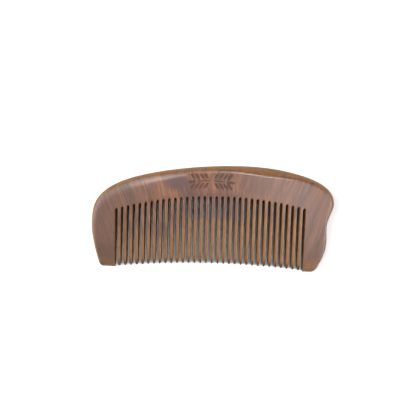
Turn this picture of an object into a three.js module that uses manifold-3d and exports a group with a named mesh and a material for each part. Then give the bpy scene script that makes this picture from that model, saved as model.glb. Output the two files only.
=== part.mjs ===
// A half-moon hair comb sawn from one board of dense hardwood, in millimetres.
// It lies on its flat face with +X along the comb, +Y from the tooth tips to the back and +Z up.
// The origin is under the middle of its bounding box.
// The comb is carved in one piece: the bodies below are its anatomy, and they meet flush, face to face.
import * as THREE from "three";
import { mergeVertices } from "three/addons/utils/BufferGeometryUtils.js";
import Module from "manifold-3d";

// Board
const DEPTH = 56; // tooth tips to the top of the back
const BACK_THICKNESS = 10;
const TIP_THICKNESS = 4; // at the lower edge of the board
const EDGE_INSET = 1.8; // how far the rounded edge reaches in from the outline
const EDGE_DROP = 3.2; // how far it reaches down from the face of the back
const EDGE_STEPS = 3;
const OUTLINE_STEPS = 9; // straight pieces in each curve of the outline

// Teeth and the saw cuts between them
const TOOTH_COUNT = 32;
const FIRST_CUT_X = -51.1;
const LAST_CUT_X = 48.6;
const CUT_WIDTH = 1.55;
const CUT_END_STEPS = 3;
const PITCH = (LAST_CUT_X - FIRST_CUT_X) / TOOTH_COUNT;
const TOOTH_WIDTH = PITCH - CUT_WIDTH;
const ROOT_DROP = 1.6; // from the end of a cut down to where the tooth body starts
const TIP_TAPER = 4; // length over which a tooth narrows to its tip
const TIP_STEPS = 3;

// The cuts end on one shallow arc and the teeth on another
const CUT_ARC = { x: 3.8, top: 11.8, radius: 196 };
const TIP_ARC = { x: 0.3, top: -24.9, radius: 477 };

// Stops of the outline, clockwise from the foot of the left guard to the foot of the right one.
// Each has a heading in degrees, and how far its curve handles reach behind it and ahead of it.
const OUTLINE = [
  { at: [-58.3, -28], heading: 180, behind: 0, ahead: 1.2 }, // flat end of the left guard
  { at: [-60.7, -26.1], heading: 110, behind: 1.2, ahead: 5.4 }, // left foot corner
  { at: [-65, -6.7], heading: 90, behind: 4.1, ahead: 10.4 }, // widest point on the left
  { at: [-50.2, 17.8], heading: 25, behind: 15.9, ahead: 13.1 }, // left shoulder
  { at: [15.8, 28], heading: 0, behind: 26.8, ahead: 12 }, // top of the back
  { at: [45.8, 24.2], heading: -15, behind: 9.8, ahead: 11.5 }, // right shoulder
  { at: [65, 8.6], heading: -90, behind: 8.1, ahead: 3.5 }, // nose on the right
  { at: [61.5, -4.4], heading: -90, behind: 6, ahead: 1.2 }, // finger notch under the nose
  { at: [61.9, -10.8], heading: -90, behind: 1.3, ahead: 5.8 }, // swell of the right guard
  { at: [57, -26.1], heading: -121, behind: 6.5, ahead: 1.2 }, // right foot corner
  { at: [54, -28], heading: 180, behind: 1.2, ahead: 0 }, // flat end of the right guard
];

const wood = { color: 0x9c7a62, roughness: 0.42, metalness: 0 };
const palerWood = { color: 0xb08558, roughness: 0.42, metalness: 0 };

const wasm = await Module();
wasm.setup();

const cutX = (i) => FIRST_CUT_X + i * PITCH;
const toothX = (i) => cutX(i) + PITCH / 2;
const onArc = (arc, x) => arc.top - arc.radius + Math.sqrt(arc.radius ** 2 - (x - arc.x) ** 2);
const rootY = (x) => onArc(CUT_ARC, x) - ROOT_DROP;

// The two faces make a thin wedge: the height of the upper face above the lower one.
function thicknessAt(y) {
  const lowY = -DEPTH / 2;
  const crestY = DEPTH / 2 - EDGE_INSET;
  return THREE.MathUtils.mapLinear(y, lowY, crestY, TIP_THICKNESS, BACK_THICKNESS);
}

function solidOf(geometry) {
  geometry.deleteAttribute("normal");
  geometry.deleteAttribute("uv");
  const welded = mergeVertices(geometry);
  const vertProperties = welded.getAttribute("position").array;
  const triVerts = new Uint32Array(welded.index.array);
  return new wasm.Manifold(new wasm.Mesh({ numProp: 3, vertProperties, triVerts }));
}

function geometryOf(solid) {
  const mesh = solid.getMesh();
  const positions = new THREE.BufferAttribute(new Float32Array(mesh.vertProperties), 3);
  const geometry = new THREE.BufferGeometry();
  geometry.setAttribute("position", positions);
  geometry.setIndex(new THREE.BufferAttribute(mesh.triVerts, 1));
  geometry.computeVertexNormals();
  return geometry;
}

// A straight prism on a plan outline, tall enough to pass through the whole board.
function prism(shape, curveSegments) {
  const height = 3 * BACK_THICKNESS;
  const geometry = new THREE.ExtrudeGeometry(shape, { depth: height, bevelEnabled: false, curveSegments });
  geometry.translate(0, 0, -BACK_THICKNESS);
  return solidOf(geometry);
}

function outlineShape() {
  const shape = new THREE.Shape();
  shape.moveTo(...OUTLINE[0].at);
  OUTLINE.slice(1).forEach((stop, i) => {
    const last = OUTLINE[i];
    const handle = (s, reach) => {
      const angle = THREE.MathUtils.degToRad(s.heading);
      return [s.at[0] + reach * Math.cos(angle), s.at[1] + reach * Math.sin(angle)];
    };
    shape.bezierCurveTo(...handle(last, last.ahead), ...handle(stop, -stop.behind), ...stop.at);
  });
  shape.closePath();
  return shape;
}

// The board before it is sawn: the outline with rounded edges, planed to a wedge.
function board() {
  const geometry = new THREE.ExtrudeGeometry(outlineShape(), {
    depth: BACK_THICKNESS - 2 * EDGE_DROP,
    bevelThickness: EDGE_DROP,
    bevelSize: EDGE_INSET,
    bevelOffset: -EDGE_INSET,
    bevelSegments: EDGE_STEPS,
    curveSegments: OUTLINE_STEPS,
  });
  geometry.translate(0, 0, EDGE_DROP);
  const position = geometry.getAttribute("position");
  for (let i = 0; i < position.count; i++) {
    position.setZ(i, (position.getZ(i) * thicknessAt(position.getY(i))) / BACK_THICKNESS);
  }
  return solidOf(geometry);
}

// One saw cut, open at the tips and round at its inner end.
function sawCut(x) {
  const shape = new THREE.Shape();
  const half = CUT_WIDTH / 2;
  const endY = onArc(CUT_ARC, x) - half;
  shape.moveTo(x - half, -DEPTH);
  shape.lineTo(x + half, -DEPTH);
  shape.lineTo(x + half, endY);
  shape.absarc(x, endY, half, 0, Math.PI, false);
  shape.closePath();
  return prism(shape, 2 * CUT_END_STEPS);
}

// The region above the tooth roots, stepped in the middle of each saw cut.
function backRegion() {
  const shape = new THREE.Shape();
  shape.moveTo(-DEPTH * 2, DEPTH);
  shape.lineTo(-DEPTH * 2, rootY(FIRST_CUT_X));
  for (let i = 0; i <= TOOTH_COUNT; i++) {
    const before = i === 0 ? FIRST_CUT_X : toothX(i - 1);
    const after = i === TOOTH_COUNT ? LAST_CUT_X : toothX(i);
    shape.lineTo(cutX(i), rootY(before));
    shape.lineTo(cutX(i), rootY(after));
  }
  shape.lineTo(DEPTH * 2, rootY(LAST_CUT_X));
  shape.lineTo(DEPTH * 2, DEPTH);
  shape.closePath();
  return prism(shape, 1);
}

function back(blank) {
  let solid = blank.intersect(backRegion());
  for (let i = 0; i <= TOOTH_COUNT; i++) {
    solid = solid.subtract(sawCut(cutX(i)));
  }
  return geometryOf(solid);
}

// The wide end piece between the outer saw cut and the end of the comb.
function guard(blank, innerX, outerX) {
  const root = rootY(innerX > 0 ? LAST_CUT_X : FIRST_CUT_X);
  const shape = new THREE.Shape();
  shape.moveTo(innerX, root);
  shape.lineTo(outerX, root);
  shape.lineTo(outerX, -DEPTH);
  shape.lineTo(innerX, -DEPTH);
  shape.closePath();
  return geometryOf(blank.intersect(prism(shape, 1)));
}

// A tooth from above: parallel flanks that close to a rounded point.
function toothPlan(i) {
  const half = TOOTH_WIDTH / 2;
  const x = toothX(i);
  const tip = onArc(TIP_ARC, x);
  const shape = new THREE.Shape();
  shape.moveTo(x - half, rootY(x));
  shape.lineTo(x - half, tip + TIP_TAPER);
  shape.quadraticCurveTo(x - half, tip, x, tip);
  shape.quadraticCurveTo(x + half, tip, x + half, tip + TIP_TAPER);
  shape.lineTo(x + half, rootY(x));
  shape.closePath();
  return prism(shape, TIP_STEPS);
}

// A tooth from the side: the wedge of the board, with a rounded end.
function toothSide(i) {
  const x = toothX(i);
  const root = rootY(x);
  const tip = onArc(TIP_ARC, x);
  const taperY = tip + TIP_TAPER / 2;
  const nose = thicknessAt(tip) / 2;
  const shape = new THREE.Shape();
  shape.moveTo(root, 0);
  shape.lineTo(taperY, 0);
  shape.quadraticCurveTo(tip, 0, tip, nose);
  shape.quadraticCurveTo(tip, thicknessAt(tip), taperY, thicknessAt(taperY));
  shape.lineTo(root, thicknessAt(root));
  shape.closePath();
  const width = 2 * PITCH;
  const options = { depth: width, bevelEnabled: false, curveSegments: TIP_STEPS };
  const geometry = new THREE.ExtrudeGeometry(shape, options);
  const yAxis = new THREE.Vector3(0, 1, 0);
  const zAxis = new THREE.Vector3(0, 0, 1);
  const xAxis = new THREE.Vector3(1, 0, 0);
  geometry.applyMatrix4(new THREE.Matrix4().makeBasis(yAxis, zAxis, xAxis));
  geometry.translate(x - width / 2, 0, 0);
  return solidOf(geometry);
}

function tooth(i) {
  return geometryOf(toothPlan(i).intersect(toothSide(i)));
}

function node(name, geometry, finish) {
  const mesh = new THREE.Mesh(geometry, new THREE.MeshStandardMaterial(finish));
  mesh.name = name;
  return mesh;
}

function comb() {
  const group = new THREE.Group();
  const blank = board();
  const half = CUT_WIDTH / 2;
  group.add(node("back", back(blank), wood));
  group.add(node("left_guard", guard(blank, FIRST_CUT_X - half, -DEPTH * 2), wood));
  group.add(node("right_guard", guard(blank, LAST_CUT_X + half, DEPTH * 2), wood));
  for (let i = 0; i < TOOTH_COUNT; i++) {
    const number = String(i + 1).padStart(2, "0");
    group.add(node(`tooth_${number}`, tooth(i), palerWood));
  }
  return group;
}

export default comb();
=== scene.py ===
import math

import bmesh
import bpy
from mathutils import Matrix, Vector


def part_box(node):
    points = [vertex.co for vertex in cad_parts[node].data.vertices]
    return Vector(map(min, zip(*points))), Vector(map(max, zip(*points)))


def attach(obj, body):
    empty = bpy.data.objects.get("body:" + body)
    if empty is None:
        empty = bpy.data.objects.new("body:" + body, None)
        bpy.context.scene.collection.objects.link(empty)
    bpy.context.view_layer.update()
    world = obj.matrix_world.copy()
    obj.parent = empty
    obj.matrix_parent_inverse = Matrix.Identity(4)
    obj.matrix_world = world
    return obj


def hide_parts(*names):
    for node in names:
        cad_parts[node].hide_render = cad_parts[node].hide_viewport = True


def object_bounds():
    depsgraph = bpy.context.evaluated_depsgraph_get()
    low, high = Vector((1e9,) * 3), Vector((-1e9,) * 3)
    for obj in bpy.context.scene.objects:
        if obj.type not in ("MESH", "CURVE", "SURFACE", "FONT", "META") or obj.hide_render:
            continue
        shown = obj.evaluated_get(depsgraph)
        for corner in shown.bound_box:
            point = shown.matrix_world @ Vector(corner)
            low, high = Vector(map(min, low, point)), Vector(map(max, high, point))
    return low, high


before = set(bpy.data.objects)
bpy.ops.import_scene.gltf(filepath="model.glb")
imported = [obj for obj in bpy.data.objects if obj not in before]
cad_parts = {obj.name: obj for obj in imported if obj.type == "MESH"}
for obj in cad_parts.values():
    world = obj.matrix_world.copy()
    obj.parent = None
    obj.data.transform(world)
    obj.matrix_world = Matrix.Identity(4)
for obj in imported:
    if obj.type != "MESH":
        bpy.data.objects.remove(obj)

cadLow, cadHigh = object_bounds()
mm = 0.001
perMetre = 1000.0  # the same in materials, whose patterns are laid out in millimetres
toothNames = sorted(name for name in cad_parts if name.startswith("tooth_"))
toothBoxes = {name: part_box(name) for name in toothNames}

# Lengths are in millimetres as far as the studio, and turn into metres where a mesh is made.
clear = {  # outside the board all round
    "left": -80.0, "right": 80.0,
    "front": -40.0,
    "under": -5.0, "over": 20.0,
}
wedge = {
    "lowY": -28.0,  # the lower edge of the board
    "lowThickness": 4.0,
    "crestY": 26.2,  # where the upper face is highest
    "crestThickness": 10.0,
}
cuts = {
    "firstX": -51.1,
    "lastX": 48.6,
    "width": 1.55,
    "endLength": 2.1,  # length of the pointed inner end
    "endSteps": 6,
    "roundOver": 0.38,  # rounding of the long edges
    "endFullness": 0.96,  # how much of the width the round end takes before it is drawn out
    "endSlope": 0.6, "endDepth": 2.6,  # how far the filed slope at the point reaches out, and how much deeper
    "sawLength": 45.0, "sawHeight": 16.0,
    "roundSteps": 3,
    "roundedAbove": -26.35,  # the dressed lower edge of the guards stays as it is
    "arcX": 3.8, "arcTop": 11.4, "arcRadius": 196.0,
}
tipArc = {"x": 0.3, "top": -24.9, "radius": 477.0}

pitch = (cuts["lastX"] - cuts["firstX"]) / len(toothNames)


def cutX(i):
    return cuts["firstX"] + i * pitch


def cutEnd(x):
    return cuts["arcTop"] - cuts["arcRadius"] + math.sqrt(cuts["arcRadius"] ** 2 - (x - cuts["arcX"]) ** 2)


def planedTo(y):  # height of the upper face above the lower one
    run = (y - wedge["lowY"]) / (wedge["crestY"] - wedge["lowY"])
    return wedge["lowThickness"] + run * (wedge["crestThickness"] - wedge["lowThickness"])


def smooth(low, high, x):
    t = min(max((x - low) / (high - low), 0.0), 1.0)
    return t * t * (3 - 2 * t)


def putDown():
    if bpy.context.mode != "OBJECT":
        bpy.ops.object.mode_set(mode="OBJECT")
    bpy.ops.object.select_all(action="DESELECT")


def pickUp(piece):
    putDown()
    piece.select_set(True)
    bpy.context.view_layer.objects.active = piece


def openMesh(piece, mode="VERT"):
    pickUp(piece)
    bpy.ops.object.mode_set(mode="EDIT")
    bpy.ops.mesh.select_mode(type=mode)
    return bmesh.from_edit_mesh(piece.data)


def closeMesh(piece, recalc=False):
    if recalc:
        bpy.ops.mesh.select_all(action="SELECT")
        bpy.ops.mesh.normals_make_consistent(inside=False)
    putDown()
    return piece


def selectOnly(piece, bm, parts, test):
    for part in (*bm.verts, *bm.edges, *bm.faces):
        part.select_set(False)
    for part in [p for p in parts if test(p)]:
        part.select_set(True)
    bmesh.update_edit_mesh(piece.data)


def applied(piece, kind, **settings):
    pickUp(piece)
    modifier = piece.modifiers.new(kind.title(), kind)
    for key, value in settings.items():
        setattr(modifier, key, value)
    bpy.ops.object.modifier_apply(modifier=modifier.name)
    return piece


def settled(piece):  # place, turn and size go into the mesh
    pickUp(piece)
    bpy.ops.object.transform_apply(location=True, rotation=True, scale=True)
    return piece


def joined(pieces):
    putDown()
    for piece in pieces:
        piece.select_set(True)
    bpy.context.view_layer.objects.active = pieces[0]
    bpy.ops.object.join()
    return pieces[0]


def copied(piece, name):
    twin = piece.copy()
    twin.data = piece.data.copy()
    twin.name = name
    bpy.context.collection.objects.link(twin)
    return twin


def carved(piece, tool, operation="DIFFERENCE"):  # the tool is used up
    applied(piece, "BOOLEAN", object=tool, operation=operation, solver="EXACT")
    bpy.data.objects.remove(tool)
    return piece


def block(name, low, high):  # a box between two corners, in millimetres
    size = [(b - a) * mm for a, b in zip(low, high)]
    middle = [(a + b) / 2 * mm for a, b in zip(low, high)]
    putDown()
    bpy.ops.mesh.primitive_cube_add(size=1, location=middle)
    box = bpy.context.active_object
    box.name = name
    box.scale = size
    return settled(box)


# Stops of the outline, clockwise from the foot of the left guard. heading is in degrees, behind and ahead
# are the reaches of the curve handles, rim is the width of the dressed edge, and fall is the width over
# which the upper face dips towards it.
outline = [
    {"at": (-58.3, -28.0), "heading": 180, "behind": 0.0, "ahead": 1.2, "rim": 1.0, "fall": 0.5},
    {"at": (-60.7, -26.1), "heading": 110, "behind": 1.2, "ahead": 5.4, "rim": 1.0, "fall": 0.6},
    {"at": (-65.0, -6.7), "heading": 90, "behind": 4.1, "ahead": 10.4, "rim": 1.7, "fall": 1.6},
    {"at": (-50.2, 17.8), "heading": 25, "behind": 15.9, "ahead": 13.1, "rim": 2.2, "fall": 5.0},
    {"at": (15.8, 28.0), "heading": 0, "behind": 26.8, "ahead": 12.0, "rim": 2.3, "fall": 1.8},
    {"at": (45.8, 24.2), "heading": -15, "behind": 9.8, "ahead": 11.5, "rim": 2.1, "fall": 1.2},
    {"at": (65.0, 8.6), "heading": -90, "behind": 8.1, "ahead": 3.5, "rim": 2.1, "fall": 1.4},
    {"at": (61.5, -4.4), "heading": -90, "behind": 6.0, "ahead": 1.2, "rim": 1.0, "fall": 1.2},
    {"at": (61.9, -10.8), "heading": -90, "behind": 1.3, "ahead": 5.8, "rim": 1.4, "fall": 1.2},
    {"at": (57.0, -26.1), "heading": -121, "behind": 6.5, "ahead": 1.2, "rim": 1.0, "fall": 0.6},
    {"at": (54.0, -28.0), "heading": 180, "behind": 1.2, "ahead": 0.0, "rim": 1.0, "fall": 0.5},
]
edge = {
    "stepsPerCurve": 18,
    "facetX": 29.0, "facetSpread": 17.0, "facetExtra": 1.9,  # a flat dressed wider on the right of the back
    "evenFall": 1.8, "evenFrom": -12.0, "evenBy": 14.0,  # the fall along the right of the back
    "wallSwell": 0.3,  # how much the side wall swells out between its two edges
    "wallBow": 0.07,  # how far in it still is half-way up to its widest line
    "ridge": 0.12,  # half the width of the soft ridge between rim and face
    "leastDip": 0.08, "fallSlope": 0.09,  # how far the face dips, and how much more per millimetre of fall
    "dropSlope": 0.95,  # how far the rim drops for each millimetre of its width
    "rimDrop": 0.7, "underDrop": 0.3,  # and how much more, above and below
    "rimBulge": 0.1,  # how far the rim stands out, as a share of its width
    "underRim": 1.3,  # the same edge on the lower face
    "underFall": 0.6,
}


def drawOutline():
    putDown()
    bpy.ops.curve.primitive_bezier_curve_add()
    curve = bpy.context.active_object
    curve.data.resolution_u = edge["stepsPerCurve"]
    spline = curve.data.splines[0]
    spline.bezier_points.add(len(outline) - 2)
    spline.use_cyclic_u = True
    for stop, knot in zip(outline, spline.bezier_points):
        heading = math.radians(stop["heading"])
        along = Vector((math.cos(heading), math.sin(heading), 0))
        knot.handle_left_type = knot.handle_right_type = "FREE"
        knot.co = Vector((*stop["at"], 0)) * mm
        knot.handle_left = knot.co - along * stop["behind"] * mm
        knot.handle_right = knot.co + along * stop["ahead"] * mm
    bpy.ops.object.convert(target="MESH")
    loop = bpy.context.active_object
    loop.name = "board"
    return loop


def stationsOf(loop):  # place, inward direction, rim and fall at each point round the outline
    points = [v.co.copy() / mm for v in loop.data.vertices]
    count = len(points)
    steps = edge["stepsPerCurve"]
    stations = []
    for i, point in enumerate(points):
        travel = points[(i + 1) % count] - points[i - 1]
        inward = Vector((travel.y, -travel.x, 0)).normalized()
        last, following = outline[i // steps % len(outline)], outline[(i // steps + 1) % len(outline)]
        share = smooth(0, 1, i % steps / steps)
        rim = last["rim"] + share * (following["rim"] - last["rim"])
        fall = last["fall"] + share * (following["fall"] - last["fall"])
        if point.y > 0:
            rim += edge["facetExtra"] * math.exp(-((point.x - edge["facetX"]) / edge["facetSpread"]) ** 2)
            even = edge["evenFall"]
            fall = even + (fall - even) * (1 - smooth(edge["evenFrom"], edge["evenBy"], point.x))
        stations.append({"point": point, "inward": inward, "rim": rim, "fall": fall})
    return stations


def edgeSection(rim, fall, thickness):
    # Steps of one edge, from the flat of the lower face round to the flat of the upper one: how far in from
    # the outline, and how far up from the lower face or, as a negative number, down from the upper one.
    under, underFall, ridge = min(edge["underRim"], rim), edge["underFall"], edge["ridge"]
    dip, underDip = fall * edge["fallSlope"] + edge["leastDip"], edge["leastDip"]
    drop = rim * edge["dropSlope"] + edge["rimDrop"]
    underDrop = under * edge["dropSlope"] + edge["underDrop"]
    swell, bow, wall = edge["wallSwell"], edge["wallBow"], thickness - underDrop - drop
    section = [(under + underFall, 0), (under + underFall * 0.5, underDip * 0.25)]
    section += [(under + ridge, underDip * 0.8), (under - ridge, underDip * 1.6)]
    section += [((under + swell) * 0.5 - 0.1, underDrop * 0.45), (swell, underDrop)]
    section += [(bow, underDrop + wall * 0.25), (0, underDrop + wall * 0.5)]
    section += [(bow, -drop - wall * 0.25), (swell, -drop)]
    for share in (0.3, 0.6, 0.85):
        bulge = edge["rimBulge"] * rim * math.sin(share * math.pi)
        section.append((swell + (rim - swell) * share - bulge, -drop + (drop - dip) * share))
    section += [(rim - ridge, -dip - ridge * 0.75), (rim + ridge, -dip + ridge * 0.12)]
    for share in (0.25, 0.45, 0.65, 0.85):
        section.append((rim + fall * share + ridge * (1 - share), -dip * (1 - share) ** 2))
    return section + [(rim + fall, -0.0)]  # minus zero: level with the upper face


def roughBoard():
    board = drawOutline()
    stations = stationsOf(board)
    sections = [edgeSection(s["rim"], s["fall"], planedTo(s["point"].y)) for s in stations]
    bm = openMesh(board)
    mark = bm.verts.layers.int.new("station")
    for i, vert in enumerate(bm.verts):
        vert[mark] = i
    selectOnly(board, bm, bm.edges, lambda e: True)
    for ring in range(len(sections[0])):
        if ring > 0:
            bpy.ops.mesh.extrude_edges_move()
            bm = bmesh.from_edit_mesh(board.data)
            mark = bm.verts.layers.int["station"]
        for vert in [v for v in bm.verts if v.select]:
            station = stations[vert[mark]]
            inset, height = sections[vert[mark]][ring]
            place = station["point"] + station["inward"] * inset
            place.z = planedTo(place.y) + height if math.copysign(1, height) < 0 else height
            vert.co = place * mm
        bmesh.update_edit_mesh(board.data)
        if ring == 0:
            bpy.ops.mesh.edge_face_add()
            bm = bmesh.from_edit_mesh(board.data)
            selectOnly(board, bm, bm.edges, lambda e: True)
    bpy.ops.mesh.edge_face_add()
    print("board outlined with", len(stations), "stations")
    return closeMesh(board, recalc=True)


def sawCutTool():
    half = cuts["width"] / 2
    cut = block("sawCut", (-half, -cuts["sawLength"], clear["under"]), (half, 0, cuts["sawHeight"]))
    bm = openMesh(cut, "EDGE")

    def uprightAtEnd(e):
        first, last = e.verts
        return min(first.co.y, last.co.y) > -mm and abs(first.co.z - last.co.z) > mm

    selectOnly(cut, bm, bm.edges, uprightAtEnd)
    reach = half * cuts["endFullness"] * mm
    bpy.ops.mesh.bevel(offset=reach, segments=cuts["endSteps"], affect="EDGES", clamp_overlap=True)
    bm = bmesh.from_edit_mesh(cut.data)
    for vert in bm.verts:  # the round end is drawn out to a point
        if vert.co.y > -half * mm:
            share = 1 + vert.co.y / (half * mm)
            vert.co.y = (share * cuts["endLength"] - cuts["endLength"]) * mm
    bmesh.update_edit_mesh(cut.data)
    return closeMesh(cut, recalc=True)


def allCuts():
    first = sawCutTool()
    copies = []
    for i in range(len(toothNames) + 1):
        cut = copied(first, f"sawCut{i}")
        cut.location = Vector((cutX(i), cutEnd(cutX(i)), 0)) * mm
        copies.append(settled(cut))
    bpy.data.objects.remove(first)
    return joined(copies)


# How far a point, given in metres, is from the nearest cut's middle line and past that cut's end.
# Known fault: slopeCutEnds and markPlaces hand it millimetres. So the slope is never made, and the walls of
# the cuts and the sides of the teeth are marked as dressed edge instead of as sawn wood with painted shade.
def inACut(point):
    i = round((point.x / mm - cuts["firstX"]) / pitch)
    i = min(max(i, 0), len(toothNames))
    return abs(point.x / mm - cutX(i)), point.y / mm - cutEnd(cutX(i))


def isCutWall(face):
    away, past = inACut(face.calc_center_median())
    return abs(face.normal.z) < 0.05 and away < cuts["width"] / 2 + 0.01 and past < 0.02


def roundCutEdges(board):
    bm = openMesh(board, "EDGE")
    walls = {face.index for face in bm.faces if isCutWall(face)}

    def onLip(e):
        onWall = sum(face.index in walls for face in e.link_faces)
        atRoot = any(abs(face.normal.y) > 0.95 and face.index not in walls for face in e.link_faces)
        return onWall == 1 and not atRoot and min(v.co.y for v in e.verts) > cuts["roundedAbove"] * mm

    selectOnly(board, bm, bm.edges, onLip)
    reach = cuts["roundOver"] * mm
    bpy.ops.mesh.bevel(offset=reach, segments=cuts["roundSteps"], affect="EDGES", clamp_overlap=False)
    return closeMesh(board)


def slopeCutEnds(board):  # meant to leave a small slope at the inner end of each cut: see inACut
    for vert in board.data.vertices:
        place = vert.co / mm
        away, past = inACut(place)
        if away > cuts["width"] or not -cuts["endLength"] < past < 1:
            continue
        fromTop, fromUnder = planedTo(place.y) - place.z, place.z
        depth = min(fromTop, fromUnder)
        if depth > cuts["roundOver"] * 1.05:
            continue
        pull = smooth(-cuts["endLength"], 0.1, past) ** 2
        out = 1 - depth / cuts["roundOver"]
        place.y += cuts["endSlope"] * pull * max(out, 0)
        deeper = depth * (1 + cuts["endDepth"] * pull)
        place.z = planedTo(place.y) - deeper if fromTop < fromUnder else deeper
        vert.co = place * mm
    return board


def toothBars():  # what is cut off under the back, where the teeth go
    air = 0.1  # each bar ends inside the saw cuts, clear of the wood
    bars = []
    for i, name in enumerate(toothNames):
        root = toothBoxes[name][1].y / mm
        low = (cutX(i) + air, clear["front"], clear["under"])
        bars.append(block(f"bar{i}", low, (cutX(i + 1) - air, root, clear["over"])))
    return joined(bars)


board = roughBoard()
carved(board, allCuts())
carved(board, toothBars())
print("sawn:", len(board.data.vertices), "points")
roundCutEdges(board)
slopeCutEnds(board)
print("cut edges rounded:", len(board.data.vertices), "points")


sprig = {
    "x": -1.0, "y": 18.9,  # middle of the ornament
    "halfLength": 13.0,
    "arch": 1.1,  # how far the stem rises at the middle
    "pairs": 4,  # leaf pairs on each half
    "firstPair": 1.1, "spacing": 2.35,
    "leafLength": 5.6, "leafWidth": 1.45, "leafDepth": 0.45, "leafLean": 52,
    "leafOut": 0.45,  # how far beside the stem a leaf starts
    "endLeaf": Vector((0.5, -0.1)), "endLeafTurn": 98,
    "stemStart": 0.9, "stemStop": 0.4, "stemBend": Vector((3.0, -0.1)),
    "stemDrop": 0.6,  # how far the ends of the stem lie below the middle of the ornament
    "line": 0.3,  # half the width of the stem's groove
    "lift": 0.07,  # how far the middle of each tool stays above the face
}


def stemTool(name, start, end, bend):  # a round rod along the upper face, in millimetres
    putDown()
    bpy.ops.curve.primitive_bezier_curve_add()
    curve = bpy.context.active_object
    curve.name = name
    curve.data.bevel_depth = sprig["line"] * mm
    curve.data.bevel_resolution = 2
    curve.data.use_fill_caps = True
    knots = curve.data.splines[0].bezier_points
    for knot, (place, back, on) in zip(knots, ((start, start, start + bend), (end, end - bend, end))):
        knot.handle_left_type = knot.handle_right_type = "FREE"
        for key, spot in (("co", place), ("handle_left", back), ("handle_right", on)):
            setattr(knot, key, Vector((spot.x, spot.y, planedTo(spot.y) + sprig["lift"])) * mm)
    bpy.ops.object.convert(target="MESH")
    rod = bpy.context.active_object
    openMesh(rod)
    bpy.ops.mesh.select_all(action="SELECT")
    bpy.ops.mesh.remove_doubles(threshold=0.001 * mm)
    return closeMesh(rod, recalc=True)


def leafTool(name, x, y, angle):  # a pointed lens, half sunk in the upper face
    putDown()
    bpy.ops.mesh.primitive_uv_sphere_add(segments=20, ring_count=10, radius=1, rotation=(0, math.pi / 2, 0))
    lens = settled(bpy.context.active_object)
    lens.name = name
    for vert in lens.data.vertices:
        slim = 1 - abs(vert.co.x) ** 3
        vert.co.y *= slim * sprig["leafWidth"] / 2
        vert.co.z *= slim * sprig["leafDepth"]
        vert.co.x = (vert.co.x + 1) * sprig["leafLength"] / 2
    lens.data.transform(Matrix.Translation((x, y, 0)) @ Matrix.Rotation(angle, 4, "Z"))
    for vert in lens.data.vertices:
        vert.co.z += planedTo(vert.co.y) + sprig["lift"]
        vert.co *= mm
    openMesh(lens)
    bpy.ops.mesh.select_all(action="SELECT")
    bpy.ops.mesh.remove_doubles(threshold=0.001 * mm)
    return closeMesh(lens, recalc=True)


def stemHeight(x):
    return sprig["y"] - sprig["stemDrop"] + sprig["arch"] * math.cos(x / sprig["halfLength"] * math.pi / 2)


def sprigTools():
    tools = []
    for side in (-1, 1):
        mirror = Vector((side, 1))
        reach = sprig["halfLength"] - sprig["leafLength"] - sprig["stemStop"]
        ends = (side * sprig["stemStart"], side * reach)
        start, end = [Vector((sprig["x"] + x, stemHeight(x))) for x in ends]
        tools.append(stemTool(f"stem{side}", start, end, sprig["stemBend"] * mirror))
        tip = end + sprig["endLeaf"] * mirror
        turn = math.radians(90 - side * sprig["endLeafTurn"])
        tools.append(leafTool(f"endLeaf{side}", tip.x, tip.y, turn))
        for pair in range(sprig["pairs"]):
            x = side * (sprig["firstPair"] + pair * sprig["spacing"])
            for way in (-1, 1):
                lean = math.radians(sprig["leafLean"]) * way
                angle = lean if side > 0 else math.pi - lean
                y = stemHeight(x) + way * sprig["leafOut"]
                tools.append(leafTool(f"leaf{side}{pair}{way}", sprig["x"] + x, y, angle))
    return joined(tools)


carved(board, sprigTools())
print("ornament pressed in:", len(board.data.vertices), "points")


tooth = {
    "rings": (0.12, 0.32, 0.62, 1.05, 1.6, 2.3, 3.2),  # distances from the tip
    "narrowing": 3.2, "thinning": 2.6,  # lengths over which the tip narrows and thins
    "narrowCurve": 0.8,  # below 1, the tip is blunter
    "endInset": 0.08, "endBulge": 0.05,  # the small round at the very tip
    "tipWidth": 0.26, "tipThickness": 0.38,  # shares left at the very tip
}


def firstTooth(box):
    low, high = box[0] / mm, box[1] / mm
    bar = block("toothStock", (low.x, low.y, 0), (high.x, high.y, 1))
    bm = openMesh(bar, "EDGE")
    for vert in bm.verts:
        vert.co.z = planedTo(vert.co.y / mm) * mm if vert.co.z > 0 else 0
    for distance in tooth["rings"]:
        bpy.ops.mesh.select_all(action="SELECT")
        bpy.ops.mesh.bisect(plane_co=(0, (low.y + distance) * mm, 0), plane_no=(0, 1, 0))
    bm = bmesh.from_edit_mesh(bar.data)
    selectOnly(bar, bm, bm.edges, lambda e: abs(e.verts[0].co.y - e.verts[1].co.y) > 0.05 * mm)
    bpy.ops.mesh.bevel(offset=cuts["roundOver"] * mm, segments=cuts["roundSteps"], affect="EDGES")
    bm = bmesh.from_edit_mesh(bar.data)
    middle = (low.x + high.x) / 2
    for vert in bm.verts:
        out = max(vert.co.y / mm - low.y, 0)
        narrow = math.sin(math.pi / 2 * min(out / tooth["narrowing"], 1)) ** tooth["narrowCurve"]
        thin = math.sqrt(1 - (1 - min(out / tooth["thinning"], 1)) ** 2)
        width = tooth["tipWidth"] + (1 - tooth["tipWidth"]) * narrow
        thickness = tooth["tipThickness"] + (1 - tooth["tipThickness"]) * thin
        half = planedTo(vert.co.y / mm) / 2
        vert.co.x = (middle + (vert.co.x / mm - middle) * width) * mm
        vert.co.z = (half + (vert.co.z / mm - half) * thickness) * mm
    selectOnly(bar, bm, bm.faces, lambda f: f.normal.y < -0.98)
    bpy.ops.mesh.inset(thickness=tooth["endInset"] * mm, depth=tooth["endBulge"] * mm)
    return closeMesh(bar, recalc=True)


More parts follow.
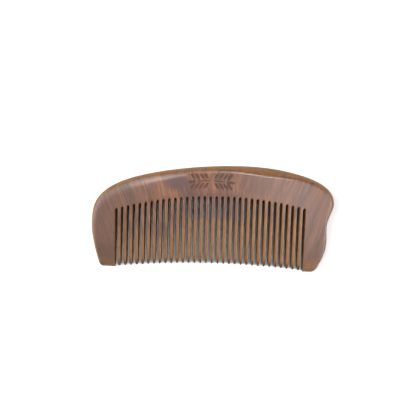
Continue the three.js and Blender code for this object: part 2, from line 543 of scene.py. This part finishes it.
def toothLike(first, firstBox, name, box):
    twin = copied(first, name)
    shift = (box[0] - firstBox[0])
    for vert in twin.data.vertices:
        oldTop = planedTo(vert.co.y / mm) * mm
        atRoot = vert.co.y > firstBox[1].y - 0.01 * mm
        vert.co.x += shift.x
        vert.co.y = box[1].y if atRoot else vert.co.y + shift.y
        if vert.co.z > oldTop / 2:
            vert.co.z += planedTo(vert.co.y / mm) * mm - oldTop
    return twin


def makeTeeth():
    firstName = toothNames[len(toothNames) // 2]
    first = firstTooth(toothBoxes[firstName])
    made = {}
    for name, box in toothBoxes.items():
        made[name] = toothLike(first, toothBoxes[firstName], name + "_wood", box)
    bpy.data.objects.remove(first)
    return made


def splitBoard(board):
    leftRoot, rightRoot = [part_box(name)[1].y / mm for name in ("left_guard", "right_guard")]
    guards = {
        "left_guard": (clear["left"], cutX(0), leftRoot),
        "right_guard": (cutX(len(toothNames)), clear["right"], rightRoot),
    }
    made = {"back": board}
    for name, (left, right, root) in guards.items():
        low, high = (left, clear["front"], clear["under"]), (right, root, clear["over"])
        made[name] = carved(copied(board, name), block("keep", low, high), "INTERSECT")
        carved(board, block("cutOff", low, high))
    return made


wood = {**splitBoard(board), **makeTeeth()}
for name, piece in wood.items():
    pickUp(piece)
    bpy.ops.object.shade_smooth_by_angle(angle=math.radians(32))
    applied(piece, "WEIGHTED_NORMAL", keep_sharp=True, weight=60)
    piece.name = name + "_wood"
print("split into", len(wood), "pieces")


def fromScreen(red, green, blue):  # a colour as a screen shows it, 0 to 255, as light
    def channel(value):
        value /= 255
        return value / 12.92 if value <= 0.04045 else ((value + 0.055) / 1.055) ** 2.4
    return (channel(red), channel(green), channel(blue), 1.0)


class Wire:  # a value in a material, which can be added, multiplied and so on
    def __init__(self, bench, socket):
        self.bench, self.socket = bench, socket

    def math(self, operation, *others):
        return self.bench.add("ShaderNodeMath", {"operation": operation}, dict(enumerate((self, *others))))

    def __add__(self, other):
        return self.math("ADD", other)

    def __sub__(self, other):
        return self.math("SUBTRACT", other)

    def __mul__(self, other):
        return self.math("MULTIPLY", other)

    def __truediv__(self, other):
        return self.math("DIVIDE", other)

    def __rsub__(self, other):
        return (self * -1) + other

    __radd__ = __add__
    __rmul__ = __mul__

    def power(self, exponent):
        return self.math("POWER", exponent)

    def clamped(self):
        return self.math("MAXIMUM", 0.0).math("MINIMUM", 1.0)

    def ramp(self, low, high):  # 0 up to low, 1 from high, smooth between
        settings = {"interpolation_type": "SMOOTHSTEP"}
        return self.bench.add("ShaderNodeMapRange", settings, {0: self, 1: low, 2: high, 3: 0.0, 4: 1.0})


class Bench:  # a material being put together
    def __init__(self, name):
        self.material = bpy.data.materials.new(name)
        self.material.use_nodes = True
        self.tree = self.material.node_tree
        self.shader = self.tree.nodes["Principled BSDF"]

    def add(self, kind, settings=None, sockets=None, out=0):
        node = self.tree.nodes.new(kind)
        for key, value in (settings or {}).items():
            setattr(node, key, value)
        for key, value in (sockets or {}).items():
            self.plug(node.inputs[key], value)
        return Wire(self, node.outputs[out])

    def plug(self, socket, value):
        if isinstance(value, Wire):
            self.tree.links.new(value.socket, socket)
        else:
            socket.default_value = value

    def mix(self, share, first, second):
        return self.add("ShaderNodeMix", {"data_type": "RGBA"}, {0: share, 6: first, 7: second}, out=2)

    def noise(self, axes, size, detail=2.0, roughness=0.5):  # size is how large its spots are along each axis
        scaled = {i: axis / length for i, (axis, length) in enumerate(zip(axes, size))}
        place = self.add("ShaderNodeCombineXYZ", {}, scaled)
        sockets = {"Vector": place, "Scale": 1.0, "Detail": detail, "Roughness": roughness}
        return self.add("ShaderNodeTexNoise", {}, sockets)

    def attribute(self, name):
        return self.add("ShaderNodeAttribute", {"attribute_name": name}, {}, out=2)


combWood = {
    "base": fromScreen(101, 62, 42),
    "dark": fromScreen(68, 40, 27),
    "light": fromScreen(128, 83, 55),
    "plum": fromScreen(73, 46, 44),
    "brown": fromScreen(56, 29, 9),
    "honey": fromScreen(122, 80, 26),
    # tip: darker tips, also used as painted shade along the lower edge
    "tip": fromScreen(52, 27, 10),
    "pressed": fromScreen(66, 42, 32),
    # near black: partly sawn wood, mostly painted shade of the deep cut walls
    "sawn": fromScreen(22, 14, 10),
    "lean": 0.42, "leanOver": 14.0,  # the grain fans out: its slope at the ends, and how soon it gets there
    "wander": 5.0, "wanderSize": (30.0, 24.0, 20.0),  # how far the grain strays, and over what lengths
    "bandSize": (6.0, 60.0, 9.0),  # sizes across, along and through the board
    "streakSize": (0.95, 22.0, 2.6),
    "fibreSize": (0.34, 7.0, 0.5),
    "poreSize": (0.2, 1.5, 0.25),
    "calm": 0.45, "calmOver": (18.0, 48.0),  # how much quieter the grain gets, and from where to where
    "brownLeft": (-26.0, -58.0), "brownLeftShare": 0.65,  # browner at the left end
    "brownLow": (-8.0, -28.0), "brownLowShare": 0.35,  # and towards the feet
    "gloss": 0.30, "oil": 0.35, "oilGloss": 0.2,
    "rimDull": 0.7,  # how much of its polish the dressed edge lacks
    "leftDull": 0.6, "leftDullOver": (-30.0, -50.0),  # the same for the two ends, where hands wear it
    "rightDull": 0.25, "rightDullOver": (48.0, 58.0),
    "sawnFrom": 42,  # degrees from level at which a cut's rounded edge takes the full painted shade of its wall
    "waveSize": (9.0, 12.0, 9.0),  # of the slight unevenness that planing leaves
}
plumWood = {  # where the heartwood turns plum
    "patches": [  # beside the ornament
        {"at": (-19.0, 18.0), "reach": (7.5, 4.5), "share": 0.9},
        {"at": (22.0, 18.0), "reach": (11.0, 7.0), "share": 0.45},
    ],
    "rootsHalf": 17.0, "rootsLow": (-2.5, 1.0), "rootsHigh": (17.0, 11.0), "rootsShare": 0.6,
    "guardFrom": (42.0, 52.0), "guardBelow": (16.0, 4.0), "guardShare": 0.2,
}
honeyWood = {
    "middleLeft": -13.0, "middleRight": 15.0,  # teeth between these turn honey-coloured along a sharp line
    "blend": 8.0,  # over which the line of the middle teeth passes into that of the outer ones
    "below": 0.4, "belowLeft": 6.6, "aboveRight": 3.4,  # where the line is, and its shift at the outer teeth
    "uneven": 3.0, "unevenSides": 16.0, "unevenSize": (2.2, 40.0, 8.0),  # how it differs between teeth
    "soft": 1.5, "softSides": 6.0,  # the length over which the colour turns
    "mottleSize": (6.0, 3.0, 3.0),
    "feet": (-17.0, -26.0),  # from where to where the feet of the guards turn honey-coloured
}
middleX, halfRow = (cuts["firstX"] + cuts["lastX"]) / 2, (cuts["lastX"] - cuts["firstX"]) / 2


def grainOf(bench, look, axes):  # its bands, streaks, fibres and pores
    x, y, z = axes
    lean = x / (x.math("ABSOLUTE") + look["leanOver"]) * look["lean"]
    across = x - lean * y + bench.noise(axes, look["wanderSize"]) * look["wander"]
    along = (across, y, z)
    bands = bench.noise(along, look["bandSize"], 3.0, 0.55)
    streaks = bench.noise(along, look["streakSize"], 4.0, 0.6)
    fibres = bench.noise(along, look["fibreSize"], 3.0, 0.6)
    pores = bench.noise(along, look["poreSize"], 1.0).ramp(0.63, 0.74)
    return bands, streaks, fibres, pores


def plumShare(x, y):
    look = plumWood
    roots = (x / look["rootsHalf"]).power(2.0).ramp(1.2, 0.6)  # of the middle teeth
    roots = roots * y.ramp(*look["rootsLow"]) * y.ramp(*look["rootsHigh"]) * look["rootsShare"]
    rightGuard = x.ramp(*look["guardFrom"]) * y.ramp(*look["guardBelow"]) * look["guardShare"]
    share = roots.math("MAXIMUM", rightGuard)
    for patch in look["patches"]:
        across = ((x - patch["at"][0]) / patch["reach"][0]).power(2.0)
        up = ((y - patch["at"][1]) / patch["reach"][1]).power(2.0)
        share = share.math("MAXIMUM", (across + up).ramp(1.3, 0.2) * patch["share"])
    return share


def honeyShare(bench, axes, rim, streaks):  # towards the tips, round the dressed edge, partly worn wood and partly painted light, and in the feet
    x, y, z = axes
    look = honeyWood
    leftTeeth = x.ramp(look["middleLeft"], look["middleLeft"] - look["blend"])
    rightTeeth = x.ramp(look["middleRight"], look["middleRight"] + look["blend"])
    sides = leftTeeth + rightTeeth
    uneven = (bench.noise(axes, look["unevenSize"]) - 0.5) * (sides * look["unevenSides"] + look["uneven"])
    line = rightTeeth * look["aboveRight"] - leftTeeth * look["belowLeft"] - look["below"] + uneven
    fromMiddle = (x - middleX).math("ABSOLUTE")
    turned = ((line - y) / (sides * look["softSides"] + look["soft"])).ramp(-0.1, 1.0)
    teeth = turned * fromMiddle.ramp(halfRow, halfRow - 1.5)
    feet = y.ramp(*look["feet"]) * fromMiddle.ramp(halfRow - 0.5, halfRow + 0.5)
    mottle = bench.noise(axes, look["mottleSize"], 3.0).ramp(0.34, 0.6)
    # the dressed edge turns honey partly as worn wood, partly as painted light on steep faces lit from above
    share = teeth * (0.35 + mottle * 0.5) + rim * (0.4 + mottle * 0.75)
    share = share + feet * (0.05 + x.ramp(0.0, 40.0) * 0.2 + mottle * 0.2)
    return (share.clamped() * (0.6 + streaks * 0.6)).clamped()


def darkTipsShadedFeet(x, y):  # darker at the tips of the teeth, and painted shade along the lower edge at the feet of the guards
    tipLine = tipArc["top"] - (x - tipArc["x"]).power(2.0) / (2 * tipArc["radius"])
    tips = (y - tipLine).ramp(4.4, 0.4) * (x - middleX).math("ABSOLUTE").ramp(halfRow, halfRow - 1.0)
    # painted shade: the last 2 mm above the lower edge, where it rounds under
    return tips.math("MAXIMUM", (y - wedge["lowY"]).ramp(2.2, 0.2) * 0.6)


def belowFace(y, z):  # how far a place is below the planed upper face
    slope = (wedge["crestThickness"] - wedge["lowThickness"]) / (wedge["crestY"] - wedge["lowY"])
    return (y - wedge["lowY"]) * slope + wedge["lowThickness"] - z


def makeCombWood():
    bench = Bench("combWood")
    look = combWood
    spot = bench.add("ShaderNodeTexCoord", {}, {}, out=3)
    axes = [bench.add("ShaderNodeSeparateXYZ", {}, {0: spot}, out=i) * perMetre for i in range(3)]
    x, y, z = axes
    bands, streaks, fibres, pores = grainOf(bench, look, axes)
    # the dressed edge mark carries partly painted light, the sawn mark mostly painted shade
    rim, sawn, pressed = [bench.attribute(name) for name in ("dressedEdgeAndLight", "sawn", "pressed")]

    calm = 1 - x.ramp(*look["calmOver"]) * look["calm"]
    colour = bench.mix(bands.ramp(0.24, 0.68), look["dark"], look["base"])
    colour = bench.mix(streaks.ramp(0.44, 0.66) * 0.85 * calm, colour, look["light"])
    colour = bench.mix((bands * 0.5 + streaks * 0.5).ramp(0.44, 0.3) * 0.4 * calm, colour, look["plum"])
    colour = bench.mix(plumShare(x, y), colour, look["plum"])
    brownLeft = x.ramp(*look["brownLeft"]) * look["brownLeftShare"]
    brownLow = y.ramp(*look["brownLow"]) * look["brownLowShare"]
    colour = bench.mix((brownLeft + brownLow).clamped(), colour, look["brown"])
    colour = bench.mix(honeyShare(bench, axes, rim, streaks), colour, look["honey"])
    # darker tips, and painted shade along the lower edge
    colour = bench.mix(darkTipsShadedFeet(x, y), colour, look["tip"])
    colour = bench.mix(belowFace(y, z).ramp(0.04, 0.22) * pressed * 0.9, colour, look["pressed"])
    # painted shade: the cut walls and their rounded edges, darker as they turn upright
    colour = bench.mix(sawn * 0.96, colour, look["sawn"])
    colour = bench.mix(fibres.ramp(0.56, 0.36) * 0.4, colour, look["dark"])
    colour = bench.mix(pores * 0.4, colour, look["pressed"])
    bench.plug(bench.shader.inputs["Base Color"], colour)

    leftEnd = x.ramp(*look["leftDullOver"]) * look["leftDull"]
    rightEnd = x.ramp(*look["rightDullOver"]) * look["rightDull"]
    ends = leftEnd + rightEnd
    dull = (rim * look["rimDull"]).math("MAXIMUM", sawn).math("MAXIMUM", pressed).math("MAXIMUM", ends)
    bench.plug(bench.shader.inputs["Roughness"], look["gloss"] + fibres * 0.16 - streaks * 0.06 + dull * 0.35)
    bench.plug(bench.shader.inputs["Coat Weight"], (1 - dull) * look["oil"])
    bench.shader.inputs["Coat Roughness"].default_value = look["oilGloss"]
    bench.shader.inputs["IOR"].default_value = 1.5
    height = fibres * 0.5 - pores * 0.9 + bench.noise(axes, look["waveSize"], 1.0) * 2.0
    bump = bench.add("ShaderNodeBump", {}, {"Strength": 0.35, "Distance": 0.00006, "Height": height})
    bench.plug(bench.shader.inputs["Normal"], bump)
    return bench.material


def makeFloorPaint():
    bench = Bench("floorPaint")
    spot = bench.add("ShaderNodeTexCoord", {}, {}, out=3)
    axes = [bench.add("ShaderNodeSeparateXYZ", {}, {0: spot}, out=i) * perMetre for i in range(3)]
    cloud = bench.noise(axes, studio["cloudSize"])
    colour = bench.mix(cloud, studio["floorDark"], studio["floorPale"])
    bench.plug(bench.shader.inputs["Base Color"], colour)
    bench.shader.inputs["Roughness"].default_value = studio["floorRoughness"]
    return bench.material


marks = {
    "pastEnd": 1.5,  # how far past a cut's end its filed slope is marked
    "steep": 0.93,  # upright share of a normal below which a face is part of the dressed edge, whose honey colour is partly painted light
    "sunk": 0.9999,  # and below which a face in the ornament isn't the plain upper face
    "sprigMargin": 2.0, "sprigHalfHeight": 4.0, "sprigAbove": 5.0,
}


def markPlaces(piece):  # dressed edge, partly painted light, pressed ornament and, as meant, sawn wood with painted shade: see inACut
    mesh = piece.data
    edgeAndLightMark = mesh.attributes.new("dressedEdgeAndLight", "FLOAT", "FACE")
    pressMark = mesh.attributes.new("pressed", "FLOAT", "FACE")
    sawnMark = mesh.attributes.new("sawn", "FLOAT", "FACE")  # sawn wood and painted shade: full on the walls, less on the rounded edges
    for face in mesh.polygons:
        place = face.center / mm
        away, past = inACut(place)
        inside = away < cuts["width"] and past < marks["pastEnd"]
        upright = min(abs(face.normal.z), 1.0)
        turned = min(math.acos(upright) / math.radians(combWood["sawnFrom"]), 1.0)
        dressed = upright < marks["steep"] and not inside and not inSprig(place)
        sawnMark.data[face.index].value = turned if inside else 0.0
        edgeAndLightMark.data[face.index].value = 1.0 if dressed else 0.0
        pressMark.data[face.index].value = 1.0 if inSprig(place) and upright < marks["sunk"] else 0.0


def inSprig(place):
    along = abs(place.x - sprig["x"]) < sprig["halfLength"] + marks["sprigMargin"]
    return along and abs(place.y - sprig["y"]) < marks["sprigHalfHeight"] and place.z > marks["sprigAbove"]


combWoodMaterial = makeCombWood()
for name, piece in wood.items():
    piece.data.materials.clear()
    piece.data.materials.append(combWoodMaterial)
    markPlaces(piece)
    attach(piece, "root")
    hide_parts(name)
print("wood finished")


studio = {  # lengths here are in metres
    "floorRadius": 0.7, "floorSteps": 128,
    "floorDark": (0.75, 0.75, 0.75, 1), "floorPale": (0.78, 0.78, 0.78, 1), "floorRoughness": 0.9,
    "cloudSize": (25.0, 25.0, 25.0),  # of the floor's slight clouding, in millimetres
    "cameraHeight": 0.225,  # above the middle of the comb's thickness
    "frameWidth": 0.2227,  # how much the picture takes in at the comb
    "roll": 1.69,  # degrees that the comb is turned in the picture
    "aside": (-0.0024, 0.0051),  # the camera's place over the comb, across and up the picture
    "key": {"at": (-0.70, 0.10, 0.62), "size": (0.5, 0.5), "watts": 13.2},
    "fill": {"at": (0.75, -0.20, 0.60), "size": (0.6, 0.6), "watts": 8.2},
    "leftGlint": {"at": (-0.26, 0.08, 0.88), "size": (0.16, 0.32), "watts": 2.3},
    "rightGlint": {"at": (0.14, 0.12, 0.90), "size": (0.20, 0.05), "watts": 1.6},
    "rightHaze": {"at": (0.27, -0.17, 0.86), "size": (0.18, 0.30), "watts": 0.9},
    "sky": 0.12, "backdrop": 0.95,  # how bright the room is as a light, and how bright it looks
}


def makeFloor():
    putDown()
    size = {"vertices": studio["floorSteps"], "radius": studio["floorRadius"]}
    bpy.ops.mesh.primitive_circle_add(**size, fill_type="NGON")
    floor = bpy.context.active_object
    floor.name = "floor"
    floor.data.materials.append(makeFloorPaint())


def softLight(name, at, size, watts):
    putDown()
    bpy.ops.object.light_add(type="AREA", location=at)
    light = bpy.context.active_object
    light.name = name
    light.data.shape = "RECTANGLE"
    light.data.size, light.data.size_y = size
    light.data.energy = watts
    light.rotation_euler = (-Vector(at)).to_track_quat("-Z", "Y").to_euler()


def makeCamera():
    roll = math.radians(studio["roll"])
    acrossPicture = Vector((math.cos(roll), math.sin(roll), 0))
    upPicture = Vector((-math.sin(roll), math.cos(roll), 0))
    middle = (cadLow + cadHigh) / 2
    place = middle + acrossPicture * studio["aside"][0] + upPicture * studio["aside"][1]
    place.z = cadHigh.z / 2 + studio["cameraHeight"]
    putDown()
    bpy.ops.object.camera_add(location=place, rotation=(0, 0, roll))
    camera = bpy.context.active_object
    camera.data.lens = camera.data.sensor_width * studio["cameraHeight"] / studio["frameWidth"]
    camera.data.clip_start = 0.01
    bpy.context.scene.camera = camera


def makeRoom():  # pale to look at, but a weak light
    world = bpy.data.worlds.new("paleRoom")
    world.use_nodes = True
    nodes, links = world.node_tree.nodes, world.node_tree.links
    nodes["Background"].inputs["Color"].default_value = (1, 1, 1, 1)
    seen = nodes.new("ShaderNodeLightPath")
    brightness = nodes.new("ShaderNodeMapRange")
    brightness.inputs["To Min"].default_value = studio["sky"]
    brightness.inputs["To Max"].default_value = studio["backdrop"]
    links.new(seen.outputs["Is Camera Ray"], brightness.inputs["Value"])
    links.new(brightness.outputs["Result"], nodes["Background"].inputs["Strength"])
    bpy.context.scene.world = world
    bpy.context.scene.view_settings.view_transform = "Standard"


makeFloor()
for name in ("key", "fill", "leftGlint", "rightGlint", "rightHaze"):
    softLight(name, **studio[name])
makeCamera()
makeRoom()
print("studio ready")
